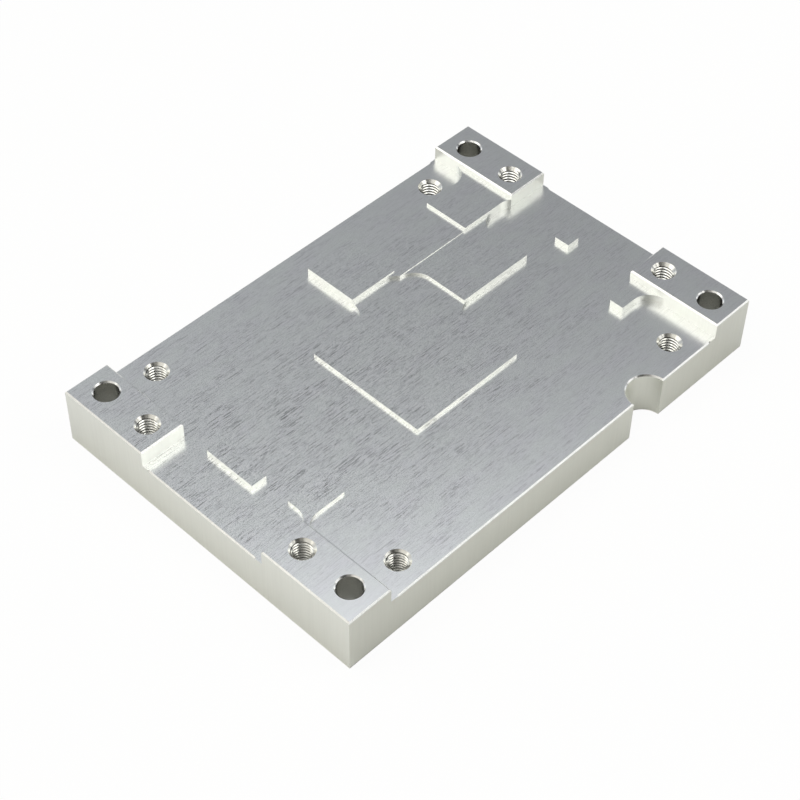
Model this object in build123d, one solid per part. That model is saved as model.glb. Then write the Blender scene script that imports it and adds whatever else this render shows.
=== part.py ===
# Heat spreader plate for a small computer module, milled from one aluminium blank.
# Frame: origin at the middle of the flat underside, X along the plate, Y across it, Z up.
# The side with the pads faces up. Lengths are in millimetres.

import os
from math import sqrt

from build123d import *

os.makedirs("parts", exist_ok=True)

# Plate and its recessed floor
plate_length = 76.0
plate_width = 52.0
plate_height = 9.0
recess_depth = 2.35
edge_break = 0.2

# Corner blocks, left at full height
block_length = 7.0
block_width = 15.0

# End mill that cut the recess, the pads and the notch
cutter_diameter = 6.0

# Chamfer tool that broke the floor's outer edges, and how far it stayed away from the blocks
break_tool_radius = 0.5
break_clearance = 0.85

# Heights of the raised pads above the recessed floor
centre_height = 0.53
tall_height = 1.22
shelf_height = 1.04
side_height = 0.93
back_pad_height = 1.5
end_pad_height = 1.12
tab_height = 0.47
strip_height = 0.81
small_height = 0.83

# Centre pad, square on the middle of the plate
centre_size = 19.0

# Step beside the centre pad, at the same height: how far it goes beyond the pad
step_beyond_x = 2.2
step_front = 2.1

# Tall pad behind the centre pad, set back from the step's back wall
tall_left = 0.8
tall_length = 8.1
tall_set_back = 1.15
tall_width = 8.7

# Side pad to the right of the step
side_length = 12.75

# Back pad, which runs into the back right block, and the shelf between it and the tall pad
back_pad_length = 9.05
back_pad_front_step = 0.55
back_pad_width = 7.45

# End pad, which runs into the front right block
end_pad_length = 5.35
end_pad_width = 2.2
end_pad_back_step = 1.0

# Tab at the front left block, with a neck that two cutter passes left
tab_length = 5.95
tab_width = 3.9
tab_gap_x = 1.75
tab_gap_y = 0.75

# Strip near the left end
strip_from_end = 7.05
strip_length = 2.4
strip_front = -1.7
strip_width = 8.4

# Small pad near the right end
small_from_end = 5.7
small_length = 2.2
small_front = -0.6
small_width = 2.4

# Half-round notch in the front edge, as wide as the cutter
notch_from_end = 21.0

# Plain holes for M3 screws
plain_hole_diameter = 3.4
plain_inset_x = 3.8
plain_inset_y = 3.75

# Holes for M3 threads, at the drill's size, with a countersink
drill_diameter = 2.5
countersink_diameter = 3.5
block_tap_inset_x = 3.8
block_tap_inset_y = 11.8
floor_tap_inset_x = 12.0
floor_tap_inset_y = 3.8

# Levels and lines that follow from the sizes above
floor_level = plate_height - recess_depth
root_level = floor_level / 2
half_length = plate_length / 2
half_width = plate_width / 2
block_wall_x = half_length - block_length
block_wall_y = half_width - block_width
cutter_radius = cutter_diameter / 2
centre_edge = centre_size / 2
step_right = centre_edge + step_beyond_x
tall_right = tall_left + tall_length
side_right = step_right + side_length
back_pad_left = block_wall_x - back_pad_length
back_pad_front = block_wall_y + back_pad_front_step
back_pad_back = back_pad_front + back_pad_width
tall_front = back_pad_front + tall_set_back
tall_back = tall_front + tall_width
end_pad_left = block_wall_x - end_pad_length
end_pad_back = -block_wall_y - end_pad_back_step
end_pad_front = end_pad_back - end_pad_width
tab_left = -block_wall_x + tab_gap_x
tab_front = -block_wall_y + tab_gap_y


def raised(left, right, front, back, height):
    """A raised area between four plan lines, up to a height above the floor."""
    solid = Box(
        right - left,
        back - front,
        floor_level + height - root_level,
        align=(Align.MIN, Align.MIN, Align.MIN),
    )
    return Pos(left, front, root_level) * solid


def cutter_at(x, y, bottom):
    """The space that the end mill clears when it stands at one place."""
    clear = Cylinder(cutter_radius, plate_height, align=(Align.CENTER, Align.CENTER, Align.MIN))
    return Pos(x, y, bottom) * clear


def left_between(x1, y1, x2, y2, height, *passes):
    """What is left of a rectangle after cutter passes round the given centres."""
    body = raised(min(x1, x2), max(x1, x2), min(y1, y2), max(y1, y2), height)
    for x, y in passes:
        body -= cutter_at(x, y, 0)
    return body


def inner_corner(x, y, side_x, side_y, height):
    """The round that the cutter leaves where two walls meet at x, y."""
    centre = (x + side_x * cutter_radius, y + side_y * cutter_radius)
    return left_between(x, y, *centre, height, centre)


def round_to_corner(wall_y, corner_x, corner_y, side_x, height):
    """The round between a wall along X and a corner that stands out beside it."""
    side_y = 1 if corner_y > wall_y else -1
    centre_y = wall_y + side_y * cutter_radius
    reach = sqrt(cutter_radius**2 - (centre_y - corner_y) ** 2)
    centre_x = corner_x + side_x * reach
    return left_between(centre_x, wall_y, corner_x, corner_y, height, (centre_x, centre_y))


def corner_block(side_x, side_y):
    """One corner block with its top edges broken."""
    block = Pos(
        side_x * (half_length - block_length / 2),
        side_y * (half_width - block_width / 2),
        0,
    ) * Box(block_length, block_width, plate_height, align=(Align.CENTER, Align.CENTER, Align.MIN))
    return chamfer(block.faces().sort_by(Axis.Z)[-1].edges(), edge_break)


def edge_break_path(path_length):
    """The space that the chamfer tool clears along one straight floor edge."""
    foot_radius = break_tool_radius - edge_break
    foot = SlotCenterToCenter(path_length, 2 * foot_radius)
    return extrude(foot, amount=edge_break, taper=-45)


def sunk_hole(diameter, top_diameter, surface):
    """A hole from the underside up to a surface, with a 45 degree countersink."""
    depth = (top_diameter - diameter) / 2
    hole = Cylinder(diameter / 2, plate_height, align=(Align.CENTER, Align.CENTER, Align.MIN))
    sink = Cone(diameter / 2, top_diameter / 2, depth, align=(Align.CENTER, Align.CENTER, Align.MIN))
    return hole + Pos(0, 0, surface - depth) * sink


# Plate up to the recessed floor
plate = Box(plate_length, plate_width, floor_level, align=(Align.CENTER, Align.CENTER, Align.MIN))

# Notch with its broken rim, and the four broken floor edges between the blocks
notch = sunk_hole(cutter_diameter, cutter_diameter + 2 * edge_break, floor_level)
plate -= Pos(half_length - notch_from_end, -half_width, 0) * notch
path_offset = break_tool_radius - edge_break
path_level = floor_level - edge_break
long_path = 2 * (block_wall_x - break_clearance - break_tool_radius)
short_path = 2 * (block_wall_y - break_clearance - break_tool_radius)
for side in (-1, 1):
    plate -= Pos(0, side * (half_width + path_offset), path_level) * edge_break_path(long_path)
    across = Pos(side * (half_length + path_offset), 0, path_level) * Rot(0, 0, 90)
    plate -= across * edge_break_path(short_path)

# Corner blocks
for side_x in (-1, 1):
    for side_y in (-1, 1):
        plate += corner_block(side_x, side_y)

# Centre pad and the step beside it, with the rounds against the tall pad and the side pad
plate += raised(-centre_edge, centre_edge, -centre_edge, centre_edge, centre_height)
plate += raised(tall_left, centre_edge, step_front, tall_front, centre_height)
plate += raised(tall_left, step_right, step_front, back_pad_front, centre_height)
plate += inner_corner(tall_left, centre_edge, -1, 1, centre_height)
plate += inner_corner(centre_edge, step_front, 1, -1, centre_height)

# Side pad, shelf and tall pad, which stand round the step
side_pad = raised(step_right, side_right, step_front, back_pad_front, side_height)
side_pad += raised(
    step_right - cutter_radius,
    step_right,
    back_pad_front - cutter_radius,
    back_pad_front,
    side_height,
)
shelf = raised(tall_right, back_pad_left, back_pad_front, back_pad_back, shelf_height)
shelf += raised(
    centre_edge - cutter_radius,
    tall_right,
    back_pad_front,
    tall_front,
    shelf_height,
)
step_level = floor_level + centre_height
last_pass = cutter_at(step_right - cutter_radius, back_pad_front - cutter_radius, step_level)
last_pass += cutter_at(centre_edge - cutter_radius, tall_front - cutter_radius, step_level)
plate += side_pad + shelf - last_pass
plate += raised(tall_left, tall_right, tall_front, tall_back, tall_height)
plate += round_to_corner(back_pad_back, tall_right, tall_back, 1, shelf_height)

# Back pad, with its rounds against the back right block and the side pad
plate += raised(back_pad_left, block_wall_x, back_pad_front, back_pad_back, back_pad_height)
plate += inner_corner(block_wall_x, back_pad_back, -1, 1, back_pad_height)
plate += round_to_corner(back_pad_front, block_wall_x, block_wall_y, -1, back_pad_height)
plate += inner_corner(side_right, back_pad_front, 1, -1, side_height)

# End pad, with its rounds against the front right block
plate += raised(end_pad_left, block_wall_x, end_pad_front, end_pad_back, end_pad_height)
plate += inner_corner(block_wall_x, end_pad_front, -1, -1, end_pad_height)
plate += round_to_corner(end_pad_back, block_wall_x, -block_wall_y, -1, end_pad_height)

# Tab, with the neck between two cutter passes that joins it to the front left block
pass_beside = (tab_left - cutter_radius, -block_wall_y + cutter_radius)
pass_before = (-block_wall_x + cutter_radius, tab_front - cutter_radius)
plate += raised(tab_left, tab_left + tab_length, tab_front, tab_front + tab_width, tab_height)
plate += left_between(*pass_beside, *pass_before, tab_height, pass_beside, pass_before)

# Strip and small pad, which stand free on the floor
strip_left = -half_length + strip_from_end
strip_right = strip_left + strip_length
plate += raised(strip_left, strip_right, strip_front, strip_front + strip_width, strip_height)
small_right = half_length - small_from_end
small_left = small_right - small_length
plate += raised(small_left, small_right, small_front, small_front + small_width, small_height)

# Holes: plain and tapped ones in the blocks, tapped ones in the floor
plain_hole = sunk_hole(plain_hole_diameter, plain_hole_diameter + 2 * edge_break, plate_height)
block_tap = sunk_hole(drill_diameter, countersink_diameter, plate_height)
floor_tap = sunk_hole(drill_diameter, countersink_diameter, floor_level)
hole_groups = (
    (plain_hole, plain_inset_x, plain_inset_y),
    (block_tap, block_tap_inset_x, block_tap_inset_y),
    (floor_tap, floor_tap_inset_x, floor_tap_inset_y),
)
for hole, inset_x, inset_y in hole_groups:
    for side_x in (-1, 1):
        for side_y in (-1, 1):
            plate -= Pos(side_x * (half_length - inset_x), side_y * (half_width - inset_y), 0) * hole

export_step(plate, "parts/spreader_plate.step")
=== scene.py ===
import math

import bmesh
import bpy
from mathutils import Matrix, Vector


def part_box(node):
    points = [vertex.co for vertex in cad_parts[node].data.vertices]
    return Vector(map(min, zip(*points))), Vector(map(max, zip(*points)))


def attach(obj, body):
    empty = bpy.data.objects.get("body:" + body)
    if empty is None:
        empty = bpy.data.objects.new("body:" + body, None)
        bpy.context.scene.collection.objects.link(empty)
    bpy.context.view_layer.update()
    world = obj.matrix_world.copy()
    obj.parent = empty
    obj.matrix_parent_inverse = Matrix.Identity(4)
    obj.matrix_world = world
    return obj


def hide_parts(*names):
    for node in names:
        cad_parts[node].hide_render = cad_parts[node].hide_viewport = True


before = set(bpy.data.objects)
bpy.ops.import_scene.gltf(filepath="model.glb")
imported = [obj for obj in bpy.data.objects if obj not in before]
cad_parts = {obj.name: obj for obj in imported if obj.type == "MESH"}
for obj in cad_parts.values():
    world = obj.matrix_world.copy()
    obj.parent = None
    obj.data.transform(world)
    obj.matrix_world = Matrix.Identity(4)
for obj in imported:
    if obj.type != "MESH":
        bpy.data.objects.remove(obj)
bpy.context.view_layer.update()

# Heat spreader plate: the whole object is one piece, milled from one aluminium blank.
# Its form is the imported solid, copied and merged, and only the screw threads are added to it here.
mm = 0.001
weld = 0.001 * mm
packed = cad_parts["spreader_plate"]
form = bmesh.new()
form.from_mesh(packed.data)
bmesh.ops.remove_doubles(form, verts=form.verts, dist=weld)
plate = bpy.data.objects.new("milled_spreader_plate", bpy.data.meshes.new("milled_spreader_plate"))
form.to_mesh(plate.data)
form.free()
bpy.context.scene.collection.objects.link(plate)

# Screw threads: M3 threads cut with a tap into the eight countersunk holes, right through the plate.
# Each is one groove that winds up the drilled wall, cut here by a wound bar with the groove's section.
thread_pitch = 0.5 * mm
thread_radius = 1.5 * mm
groove_half_widths = {  # at each radius, from inside the drilled hole out to the thread's root
    1.12 * mm: 0.24 * mm,
    1.27 * mm: 0.215 * mm,
    1.4 * mm: 0.1 * mm,
    thread_radius: 0.04 * mm,
}
steps_per_turn = 40
start_angle = 0.9  # radians between the starts of one thread and the next
plate_low, plate_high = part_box("spreader_plate")
half_length = plate_high.x
half_width = plate_high.y
hole_insets = {  # of each hole's middle, from the plate's short end and from its long side
    "block_tap": (3.8 * mm, 11.8 * mm),
    "floor_tap": (12.0 * mm, 3.8 * mm),
    "plain": (3.8 * mm, 3.75 * mm),
}
holes = {
    kind: [(x * (half_length - from_end), y * (half_width - from_side)) for x in (-1, 1) for y in (-1, 1)]
    for kind, (from_end, from_side) in hole_insets.items()
}
tapped_holes = holes["block_tap"] + holes["floor_tap"]
turns = math.ceil((plate_high.z - plate_low.z) / thread_pitch) + 2
groove = bmesh.new()
below = [groove.verts.new((reach, 0, -half)) for reach, half in groove_half_widths.items()]
above = [groove.verts.new((reach, 0, half)) for reach, half in groove_half_widths.items()]
section = below + above[::-1]
outline = [groove.edges.new((section[i - 1], section[i])) for i in range(len(section))]
bmesh.ops.spin(
    groove,
    geom=section + outline,
    cent=(0, 0, 0),
    axis=(0, 0, 1),
    dvec=(0, 0, thread_pitch / steps_per_turn),
    angle=math.tau,
    steps=steps_per_turn,
)
first_turn = [*groove.verts, *groove.edges, *groove.faces]
for turn in range(1, turns):
    copied = bmesh.ops.duplicate(groove, geom=first_turn)["geom"]
    raised = [part for part in copied if isinstance(part, bmesh.types.BMVert)]
    bmesh.ops.translate(groove, verts=raised, vec=(0, 0, turn * thread_pitch))
bmesh.ops.remove_doubles(groove, verts=groove.verts, dist=weld)
bmesh.ops.holes_fill(groove, edges=[e for e in groove.edges if e.is_boundary], sides=len(section))
bmesh.ops.recalc_face_normals(groove, faces=groove.faces)
one_groove = bpy.data.meshes.new("one_groove")
groove.to_mesh(one_groove)
groove.clear()
for index, (hole_x, hole_y) in enumerate(tapped_holes):
    turned = Matrix.Rotation(index * start_angle, 4, "Z")
    placed = one_groove.copy()
    placed.transform(Matrix.Translation((hole_x, hole_y, -thread_pitch)) @ turned)
    groove.from_mesh(placed)
    bpy.data.meshes.remove(placed)
tap = bpy.data.objects.new("tap", bpy.data.meshes.new("tap"))
groove.to_mesh(tap.data)
groove.free()
bpy.context.scene.collection.objects.link(tap)
cut = plate.modifiers.new("thread_cut", "BOOLEAN")
cut.operation = "DIFFERENCE"
cut.solver = "MANIFOLD"
cut.object = tap
bpy.context.view_layer.update()
threaded = bpy.data.meshes.new_from_object(plate.evaluated_get(bpy.context.evaluated_depsgraph_get()))
plate.modifiers.clear()
plate.data = threaded
bpy.data.objects.remove(tap)

# Machined finishes: the plate is bare aluminium all over, and each face keeps the marks of its tool.
# Six materials stand for them below, one of them a painted shade in the thread roots, and then each face
# takes the one that its tool left.
mark_depth = 0.01 * mm


def linear(hex_code):
    """An sRGB hex colour as linear red, green, blue and alpha."""
    parts = [int(hex_code[i : i + 2], 16) / 255 for i in (1, 3, 5)]
    return [p / 12.92 if p <= 0.04045 else ((p + 0.055) / 1.055) ** 2.4 for p in parts] + [1.0]


def add_node(tree, kind, links=(), inputs=(), **settings):
    """One node, with its settings, its input values and the outputs that its inputs take."""
    made = tree.nodes.new(kind)
    for name, value in settings.items():
        setattr(made, name, value)
    for socket, value in dict(inputs).items():
        made.inputs[socket].default_value = value
    for socket, source in dict(links).items():
        tree.links.new(source, made.inputs[socket])
    return made


def metal(name):
    """A bare aluminium material, its node tree and its shader."""
    made = bpy.data.materials.new(name)
    made.use_nodes = True
    tree = made.node_tree
    shader = tree.nodes["Principled BSDF"]
    shader.inputs["Metallic"].default_value = 1.0
    return made, tree, shader


# End milled aluminium, the flat tops. The cutter ran along the plate, so it left dark dashes that way, with
# grit between them, heaviest left of the middle. Towards the front left corner they fade out as a painted
# highlight.
# The eye gets a satin grey with a soft grain, and slow tints in it.
dash_length, dash_width = 5.5 * mm, 0.12 * mm
gap_length, gap_width = 1.2 * mm, 0.24 * mm
patch_length, patch_width = 6 * mm, 3 * mm
grit_size = 0.13 * mm
heaviest_at = 24 * mm  # to the left of the plate's middle
face_milled, tree, shader = metal("end_milled_aluminium")
shader.inputs["Roughness"].default_value = 0.28
place = add_node(tree, "ShaderNodeTexCoord").outputs["Object"]
streak_place = add_node(
    tree, "ShaderNodeMapping", {"Vector": place}, {"Scale": (1 / dash_length, 1 / dash_width, 1)}
)
streak = add_node(
    tree, "ShaderNodeTexNoise", {"Vector": streak_place.outputs[0]}, {"Scale": 1, "Detail": 1}
)
break_place = add_node(
    tree, "ShaderNodeMapping", {"Vector": place}, {"Scale": (1 / gap_length, 1 / gap_width, 1)}
)
breaks = add_node(
    tree, "ShaderNodeTexNoise", {"Vector": break_place.outputs[0]}, {"Scale": 1, "Detail": 1}
)
patch_place = add_node(
    tree, "ShaderNodeMapping", {"Vector": place}, {"Scale": (1 / patch_length, 1 / patch_width, 1)}
)
patches = add_node(
    tree, "ShaderNodeTexNoise", {"Vector": patch_place.outputs[0]}, {"Scale": 1, "Detail": 2}
)
grit = add_node(tree, "ShaderNodeTexNoise", {"Vector": place}, {"Scale": 1 / grit_size, "Detail": 1})
dark = add_node(
    tree, "ShaderNodeMapRange", {"Value": streak.outputs["Fac"]}, {"From Min": 0.56, "From Max": 0.38}
)
broken_up = add_node(
    tree, "ShaderNodeMapRange", {"Value": breaks.outputs["Fac"]}, {"From Min": 0.4, "From Max": 0.56}
)
crowd = add_node(
    tree,
    "ShaderNodeMapRange",
    {"Value": patches.outputs["Fac"]},
    {"From Min": 0.36, "From Max": 0.62, "To Min": 0.2, "To Max": 0.58},
)
dash = add_node(
    tree, "ShaderNodeMath", {0: dark.outputs[0], 1: broken_up.outputs[0]}, operation="MULTIPLY"
)
dashes = add_node(
    tree, "ShaderNodeMath", {0: dash.outputs[0], 1: crowd.outputs[0]}, operation="MULTIPLY"
)
grain = add_node(
    tree,
    "ShaderNodeMapRange",
    {"Value": grit.outputs["Fac"]},
    {"From Min": 0.3, "From Max": 0.7, "To Min": 0.27, "To Max": -0.27},
)
marks = add_node(tree, "ShaderNodeMath", {0: grain.outputs[0], 1: dashes.outputs[0]}, operation="ADD")
spread_place = add_node(
    tree,
    "ShaderNodeMapping",
    {"Vector": place},
    {"Location": (0.5 * heaviest_at, 0, 0), "Scale": (0.5, 1, 0)},
)
away = add_node(tree, "ShaderNodeVectorMath", {0: spread_place.outputs[0]}, operation="LENGTH")
weight = add_node(
    tree,
    "ShaderNodeMapRange",
    {"Value": away.outputs["Value"]},
    {"From Min": 8 * mm, "From Max": 34 * mm, "To Min": -1.0, "To Max": -0.18},
)
corner_place = add_node(
    tree,
    "ShaderNodeMapping",
    {"Vector": place},
    {"Location": (half_length, half_width, 0), "Scale": (1, 1, 0)},
)
from_corner = add_node(
    tree, "ShaderNodeVectorMath", {0: corner_place.outputs[0]}, operation="LENGTH"
)
# Painted highlight: the marks fade out near the front left corner, so the top there is plainer and lighter.
painted_highlight_fade = add_node(
    tree,
    "ShaderNodeMapRange",
    {"Value": from_corner.outputs["Value"]},
    {"From Min": 4 * mm, "From Max": 20 * mm, "To Min": 0.2, "To Max": 1.0},
)
marks_and_highlight_fade = add_node(
    tree, "ShaderNodeMath", {0: weight.outputs[0], 1: painted_highlight_fade.outputs[0]}, operation="MULTIPLY"
)
tone = add_node(
    tree, "ShaderNodeMath", {0: marks.outputs[0], 1: marks_and_highlight_fade.outputs[0]}, {2: 1.0}, operation="MULTIPLY_ADD"
)
cast = add_node(tree, "ShaderNodeMix", {"Factor": patches.outputs["Fac"]}, data_type="RGBA")
cast.inputs["A"].default_value = linear("#f1f6f3")
cast.inputs["B"].default_value = linear("#f1f0f6")
tint = add_node(
    tree,
    "ShaderNodeVectorMath",
    {0: cast.outputs["Result"], "Scale": tone.outputs[0]},
    operation="SCALE",
)
tree.links.new(tint.outputs[0], shader.inputs["Base Color"])
cut = add_node(
    tree,
    "ShaderNodeBump",
    {"Height": streak.outputs["Fac"]},
    {"Strength": 0.25, "Distance": mark_depth},
)
tree.links.new(cut.outputs[0], shader.inputs["Normal"])

# Side milled aluminium, the walls. The cutter's flank leaves fine upright lines, each a tooth's bite apart.
# The eye gets a brighter, warmer satin than on the tops, because walls mirror the pale floor and the lamps.
tooth_bite = 0.3 * mm
line_height = 9 * mm
walls, tree, shader = metal("side_milled_aluminium")
shader.inputs["Roughness"].default_value = 0.35
place = add_node(tree, "ShaderNodeTexCoord").outputs["Object"]
bite_place = add_node(
    tree,
    "ShaderNodeMapping",
    {"Vector": place},
    {"Scale": (1 / tooth_bite, 1 / tooth_bite, 1 / line_height)},
)
bites = add_node(tree, "ShaderNodeTexNoise", {"Vector": bite_place.outputs[0]}, {"Scale": 1, "Detail": 2})
bite_tone = add_node(
    tree,
    "ShaderNodeMapRange",
    {"Value": bites.outputs["Fac"]},
    {"From Min": 0.3, "From Max": 0.7, "To Min": 0.98, "To Max": 1.01},
)
tint = add_node(
    tree,
    "ShaderNodeVectorMath",
    {"Scale": bite_tone.outputs[0]},
    {0: linear("#f5f6f0")[:3]},
    operation="SCALE",
)
tree.links.new(tint.outputs[0], shader.inputs["Base Color"])
cut = add_node(
    tree, "ShaderNodeBump", {"Height": bites.outputs["Fac"]}, {"Strength": 0.2, "Distance": mark_depth}
)
tree.links.new(cut.outputs[0], shader.inputs["Normal"])

# Face milled aluminium, the underside. A wide fly cutter crossed it once, so broad faint arcs sweep over it.
# The eye gets an even satin with curved lines about a millimetre apart.
cutter_centre = 60 * mm  # to the right of the plate's middle
wave_size = 3.1 * mm  # the wave node repeats after about a third of this
underside, tree, shader = metal("fly_cut_aluminium")
shader.inputs["Roughness"].default_value = 0.28
place = add_node(tree, "ShaderNodeTexCoord").outputs["Object"]
cutter_place = add_node(
    tree, "ShaderNodeMapping", {"Vector": place}, {"Location": (-cutter_centre, 0, 0)}
)
rings = add_node(
    tree,
    "ShaderNodeTexWave",
    {"Vector": cutter_place.outputs[0]},
    {"Scale": 1 / wave_size, "Distortion": 0.3, "Detail": 1},
    wave_type="RINGS",
    rings_direction="Z",
)
ring_tone = add_node(
    tree, "ShaderNodeMapRange", {"Value": rings.outputs["Fac"]}, {"To Min": 0.93, "To Max": 1.0}
)
tint = add_node(
    tree,
    "ShaderNodeVectorMath",
    {"Scale": ring_tone.outputs[0]},
    {0: linear("#eef0f2")[:3]},
    operation="SCALE",
)
tree.links.new(tint.outputs[0], shader.inputs["Base Color"])
cut = add_node(
    tree, "ShaderNodeBump", {"Height": rings.outputs["Fac"]}, {"Strength": 0.15, "Distance": mark_depth}
)
tree.links.new(cut.outputs[0], shader.inputs["Normal"])

# Drilled and tapped aluminium, inside the holes. The drill and the tap burnish it, smoother than the tops.
# The eye gets bright rings on the thread's crests and the countersinks, and dark roots between them.
score_length, score_pitch = 1.5 * mm, 0.12 * mm
drilled, tree, shader = metal("drilled_aluminium")
shader.inputs["Roughness"].default_value = 0.2
place = add_node(tree, "ShaderNodeTexCoord").outputs["Object"]
score_place = add_node(
    tree,
    "ShaderNodeMapping",
    {"Vector": place},
    {"Scale": (1 / score_length, 1 / score_length, 1 / score_pitch)},
)
scores = add_node(
    tree, "ShaderNodeTexNoise", {"Vector": score_place.outputs[0]}, {"Scale": 1, "Detail": 2}
)
score_tone = add_node(
    tree,
    "ShaderNodeMapRange",
    {"Value": scores.outputs["Fac"]},
    {"From Min": 0.3, "From Max": 0.7, "To Min": 0.92, "To Max": 1.03},
)
tint = add_node(
    tree,
    "ShaderNodeVectorMath",
    {"Scale": score_tone.outputs[0]},
    {0: linear("#f6f6f2")[:3]},
    operation="SCALE",
)
tree.links.new(tint.outputs[0], shader.inputs["Base Color"])

# Thread roots, the bottom of each tapped groove. The tap's teeth tear them, and they carry a painted shade.
# The eye gets a thin dark line between each pair of bright crests.
root_shade_blotch_size = 0.4 * mm
painted_root_shade, tree, shader = metal("thread_roots_painted_shade")
shader.inputs["Roughness"].default_value = 0.45
place = add_node(tree, "ShaderNodeTexCoord").outputs["Object"]
root_shade_blotches = add_node(tree, "ShaderNodeTexNoise", {"Vector": place}, {"Scale": 1 / root_shade_blotch_size, "Detail": 2})
root_shade_tone = add_node(
    tree, "ShaderNodeMapRange", {"Value": root_shade_blotches.outputs["Fac"]}, {"To Min": 0.6, "To Max": 1.2}
)
# Painted shade: a dark, blotched grey in the roots stands for the shade deep in each groove.
tint = add_node(
    tree,
    "ShaderNodeVectorMath",
    {"Scale": root_shade_tone.outputs[0]},
    {0: linear("#62625c")[:3]},
    operation="SCALE",
)
tree.links.new(tint.outputs[0], shader.inputs["Base Color"])

# Broken edges, scraped with a hand tool. They are the smoothest faces, with a waver where the tool jumped.
# The eye gets a thin white line along each upper edge.
jump_size = 0.8 * mm
broken, tree, shader = metal("scraped_aluminium")
shader.inputs["Roughness"].default_value = 0.2
place = add_node(tree, "ShaderNodeTexCoord").outputs["Object"]
jumps = add_node(tree, "ShaderNodeTexNoise", {"Vector": place}, {"Scale": 1 / jump_size, "Detail": 2})
jump_tone = add_node(
    tree,
    "ShaderNodeMapRange",
    {"Value": jumps.outputs["Fac"]},
    {"From Min": 0.3, "From Max": 0.7, "To Min": 0.92, "To Max": 1.02},
)
tint = add_node(
    tree,
    "ShaderNodeVectorMath",
    {"Scale": jump_tone.outputs[0]},
    {0: linear("#fafbfb")[:3]},
    operation="SCALE",
)
tree.links.new(tint.outputs[0], shader.inputs["Base Color"])

# The finishes on the plate: a face takes the one of the tool that cut it, or the painted shade at the thread
# roots, by its slope and its distance from the nearest hole. Edges sharper than a tool's round stay sharp,
# and the rest shade smoothly.
level_slope = 0.95
wall_slope = 0.1
countersink_slopes = (0.6, 0.8)
countersink_mouth = 1.56 * mm
root_radii = (1.41 * mm, 1.53 * mm)
tapped_reach = 1.8 * mm
plain_reach = 1.75 * mm
sharp_angle = math.radians(28)
finishes_and_root_shade = [face_milled, walls, underside, drilled, broken, painted_root_shade]
plate.data.materials.clear()
for finish_or_root_shade in finishes_and_root_shade:
    plate.data.materials.append(finish_or_root_shade)
form = bmesh.new()
form.from_mesh(plate.data)
form.normal_update()
for face in form.faces:
    middle = face.calc_center_median().xy
    slope = face.normal.z
    from_tap = min((middle - Vector(hole)).length for hole in tapped_holes)
    from_plain = min((middle - Vector(hole)).length for hole in holes["plain"])
    on_countersink = countersink_slopes[0] < abs(slope) < countersink_slopes[1]
    if slope > level_slope and from_tap > countersink_mouth:
        finish_or_root_shade = face_milled
    elif slope < -level_slope and from_tap > countersink_mouth:
        finish_or_root_shade = underside
    # Faces at the thread roots take the painted root shade.
    elif root_radii[0] < from_tap < root_radii[1] and not on_countersink:
        finish_or_root_shade = painted_root_shade
    elif from_tap < tapped_reach or from_plain < plain_reach:
        finish_or_root_shade = drilled
    elif abs(slope) < wall_slope:
        finish_or_root_shade = walls
    else:
        finish_or_root_shade = broken
    face.material_index = finishes_and_root_shade.index(finish_or_root_shade)
    face.smooth = True
for edge in form.edges:
    edge.smooth = edge.calc_face_angle(math.pi) < sharp_angle
form.to_mesh(plate.data)
form.free()
weigh = plate.modifiers.new("even_normals", "WEIGHTED_NORMAL")
weigh.keep_sharp = True
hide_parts("spreader_plate")
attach(plate, "root")

# Floor: a plain white sheet of paper under the plate, not part of it. The camera sees it white, with the
# plate's soft shadow, and the metal sees a painted pool of light on it beyond the plate's left end. It is
# clear from below, and to rays that leave the plate's underside, so that the underside is lit and shows.
paper_gap = 0.03 * mm
clear_reach = 0.2 * mm
white_level = 1.035
paper = bpy.data.materials.new("white_paper")
paper.use_nodes = True
tree = paper.node_tree
tree.nodes.clear()
shaded = add_node(tree, "ShaderNodeBsdfDiffuse", inputs={"Color": linear("#d6d6d3")})
plain = add_node(tree, "ShaderNodeEmission", inputs={"Color": (1, 1, 1, 1), "Strength": white_level})
path = add_node(tree, "ShaderNodeLightPath")
camera_share = add_node(
    tree, "ShaderNodeMath", {0: path.outputs["Is Camera Ray"]}, {1: 0.9}, operation="MULTIPLY"
)
mirror = add_node(
    tree,
    "ShaderNodeMath",
    {0: path.outputs["Is Glossy Ray"], 1: path.outputs["Is Transmission Ray"]},
    operation="MAXIMUM",
)
place = add_node(tree, "ShaderNodeTexCoord").outputs["Object"]
along = add_node(tree, "ShaderNodeSeparateXYZ", {"Vector": place})
# Painted light: to reflections the paper glows brighter beyond the plate's left end.
painted_pool_of_light = add_node(
    tree,
    "ShaderNodeMapRange",
    {"Value": along.outputs["X"]},
    {"From Min": -46 * mm, "From Max": -36 * mm, "To Min": 0.46, "To Max": 0.02},
)
mirror_share = add_node(
    tree,
    "ShaderNodeMath",
    {0: mirror.outputs[0], 1: painted_pool_of_light.outputs[0], 2: camera_share.outputs[0]},
    operation="MULTIPLY_ADD",
)
white = add_node(
    tree, "ShaderNodeMixShader", {0: mirror_share.outputs[0], 1: shaded.outputs[0], 2: plain.outputs[0]}
)
clear = add_node(tree, "ShaderNodeBsdfTransparent")
turned_over = add_node(tree, "ShaderNodeNewGeometry").outputs["Backfacing"]
touching = add_node(
    tree, "ShaderNodeMath", {0: path.outputs["Ray Length"]}, {1: clear_reach}, operation="LESS_THAN"
)
unseen = add_node(tree, "ShaderNodeMath", {0: turned_over, 1: touching.outputs[0]}, operation="MAXIMUM")
sheet = add_node(
    tree, "ShaderNodeMixShader", {0: unseen.outputs[0], 1: white.outputs[0], 2: clear.outputs[0]}
)
add_node(tree, "ShaderNodeOutputMaterial", {"Surface": sheet.outputs[0]})
sweep = bmesh.new()
bmesh.ops.create_grid(sweep, x_segments=1, y_segments=1, size=4.0)
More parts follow.
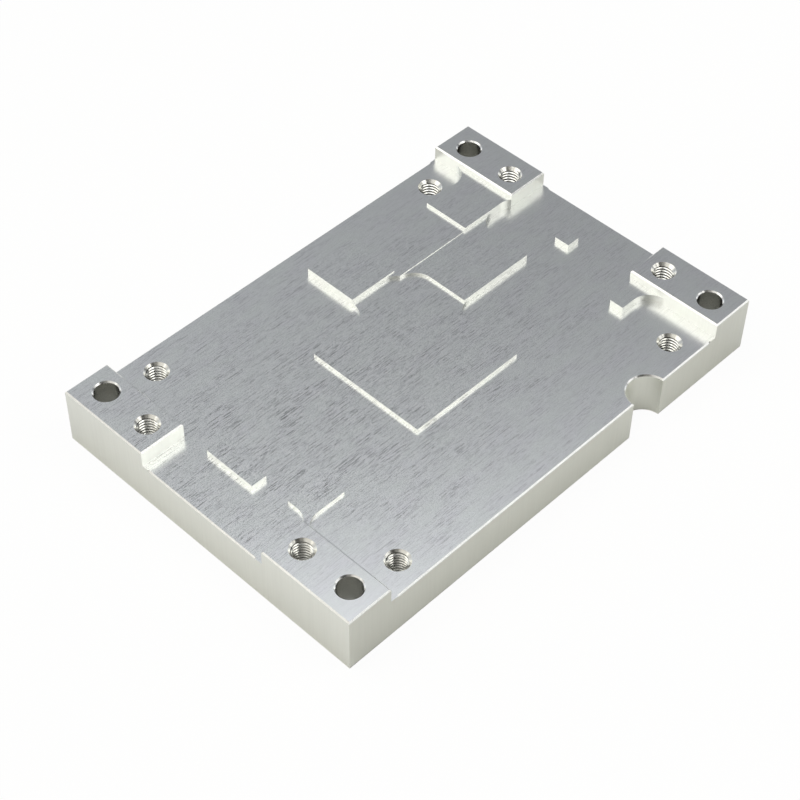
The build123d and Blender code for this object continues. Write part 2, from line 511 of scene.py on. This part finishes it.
bmesh.ops.translate(sweep, verts=sweep.verts, vec=(0, 0, -paper_gap))
floor = bpy.data.objects.new("floor", bpy.data.meshes.new("floor"))
sweep.to_mesh(floor.data)
sweep.free()
floor.data.materials.append(paper)
bpy.context.scene.collection.objects.link(floor)

# Studio: a white room to the camera. To the metal its walls are grey, brightest at the left, with a pale
# backdrop low behind the plate and a darker stand behind the camera.
# Four softboxes light the plate, from the back left, the front right, low at the front right and overhead.
straight_ahead = (0.72, 0.69, 0.0)
to_the_right = (0.695, -0.719, 0.0)
straight_up = (0.0, 0.0, 1.0)
room = bpy.data.worlds.new("studio")
bpy.context.scene.world = room
room.use_nodes = True
tree = room.node_tree
tree.nodes.clear()
toward = add_node(tree, "ShaderNodeTexCoord").outputs["Generated"]
behind = add_node(
    tree, "ShaderNodeVectorMath", {0: toward}, {1: straight_ahead}, operation="DOT_PRODUCT"
)
across = add_node(tree, "ShaderNodeVectorMath", {0: toward}, {1: to_the_right}, operation="DOT_PRODUCT")
near_tone = add_node(
    tree,
    "ShaderNodeMapRange",
    {"Value": across.outputs["Value"]},
    {"From Min": -0.45, "From Max": 0.4, "To Min": 0.76, "To Max": 0.06},
)
far_tone = add_node(
    tree,
    "ShaderNodeMapRange",
    {"Value": across.outputs["Value"]},
    {"From Min": -0.3, "From Max": 0.3, "To Min": 0.45, "To Max": 0.17},
)
far_share = add_node(
    tree, "ShaderNodeMapRange", {"Value": behind.outputs["Value"]}, {"From Min": -0.1, "From Max": 0.4}
)
walls_tone = add_node(
    tree,
    "ShaderNodeMix",
    {"Factor": far_share.outputs[0], "A": near_tone.outputs[0], "B": far_tone.outputs[0]},
)
off_stand = add_node(tree, "ShaderNodeMath", {0: across.outputs["Value"]}, operation="ABSOLUTE")
stand_side = add_node(
    tree,
    "ShaderNodeMapRange",
    {"Value": behind.outputs["Value"]},
    {"From Min": -0.75, "From Max": -0.62, "To Min": 0.0, "To Max": 1.0},
)
stand_edge = add_node(
    tree,
    "ShaderNodeMapRange",
    {"Value": off_stand.outputs[0]},
    {"From Min": 0.05, "From Max": 0.14, "To Min": 0.5, "To Max": 1.0},
)
camera_shade = add_node(
    tree, "ShaderNodeMath", {0: stand_side.outputs[0], 1: stand_edge.outputs[0]}, operation="MAXIMUM"
)
rise = add_node(tree, "ShaderNodeVectorMath", {0: toward}, {1: straight_up}, operation="DOT_PRODUCT")
low = add_node(
    tree,
    "ShaderNodeMapRange",
    {"Value": rise.outputs["Value"]},
    {"From Min": 0.1, "From Max": 0.3, "To Min": 1.0, "To Max": 0.0},
)
low_far = add_node(
    tree, "ShaderNodeMath", {0: low.outputs[0], 1: far_share.outputs[0]}, operation="MULTIPLY"
)
with_backdrop = add_node(
    tree, "ShaderNodeMix", {"Factor": low_far.outputs[0], "A": walls_tone.outputs[0]}, {"B": 0.9}
)
room_tone = add_node(
    tree,
    "ShaderNodeMath",
    {0: with_backdrop.outputs[0], 1: camera_shade.outputs[0]},
    operation="MULTIPLY",
)
wall_paint = add_node(tree, "ShaderNodeMix", {"Factor": far_share.outputs[0]}, data_type="RGBA")
wall_paint.inputs["A"].default_value = linear("#fffcf3")
wall_paint.inputs["B"].default_value = linear("#fafdff")
walls_light = add_node(
    tree,
    "ShaderNodeBackground",
    {"Strength": room_tone.outputs[0], "Color": wall_paint.outputs["Result"]},
)
white_room = add_node(
    tree, "ShaderNodeBackground", inputs={"Color": (1, 1, 1, 1), "Strength": white_level}
)
path = add_node(tree, "ShaderNodeLightPath")
seen = add_node(
    tree,
    "ShaderNodeMixShader",
    {0: path.outputs["Is Camera Ray"], 1: walls_light.outputs[0], 2: white_room.outputs[0]},
)
add_node(tree, "ShaderNodeOutputWorld", {"Surface": seen.outputs[0]})

softboxes = {  # azimuth and elevation in degrees, distance, width and height in metres, level, colour
    "softbox_back_left": (131, 44, 0.6, 0.5, 0.4, 0.7, (1, 0.98, 0.92)),
    "softbox_front_right": (-56, 48, 0.6, 0.42, 0.32, 1.48, (1, 0.99, 0.94)),
    "softbox_low_right": (-55, 22, 0.6, 0.46, 0.14, 1.04, (1, 1, 0.97)),
    "softbox_overhead": (60, 89, 0.7, 0.8, 0.8, 1.24, (0.98, 0.99, 1)),
}
for name, (azimuth, elevation, distance, width, height, level, colour) in softboxes.items():
    lamp = bpy.data.lights.new(name, "AREA")
    lamp.shape = "RECTANGLE"
    lamp.color = colour
    lamp.size = width
    lamp.size_y = height
    lamp.energy = level * math.pi * lamp.size * lamp.size_y
    holder = bpy.data.objects.new(name, lamp)
    around = math.radians(azimuth)
    upward = math.radians(elevation)
    direction = Vector(
        (math.cos(around) * math.cos(upward), math.sin(around) * math.cos(upward), math.sin(upward))
    )
    holder.location = direction * distance
    holder.rotation_euler = (-direction).to_track_quat("-Z", "Y").to_euler()
    holder.visible_camera = False
    bpy.context.scene.collection.objects.link(holder)

# Camera: a long lens that looks down at the plate over its front left corner.
# Its place, turn and lens are the ones that were fitted to the photograph.
camera = bpy.data.objects.new("camera", bpy.data.cameras.new("camera"))
camera.location = (-0.130477, -0.121649, 0.191534)
camera.rotation_euler = (math.radians(42.684), math.radians(-0.681), math.radians(-45.640))
camera.data.lens = 87.109
camera.data.clip_start = 0.01
camera.data.clip_end = 20.0
bpy.context.scene.collection.objects.link(camera)
bpy.context.scene.camera = camera
bpy.context.scene.view_settings.view_transform = "Standard"
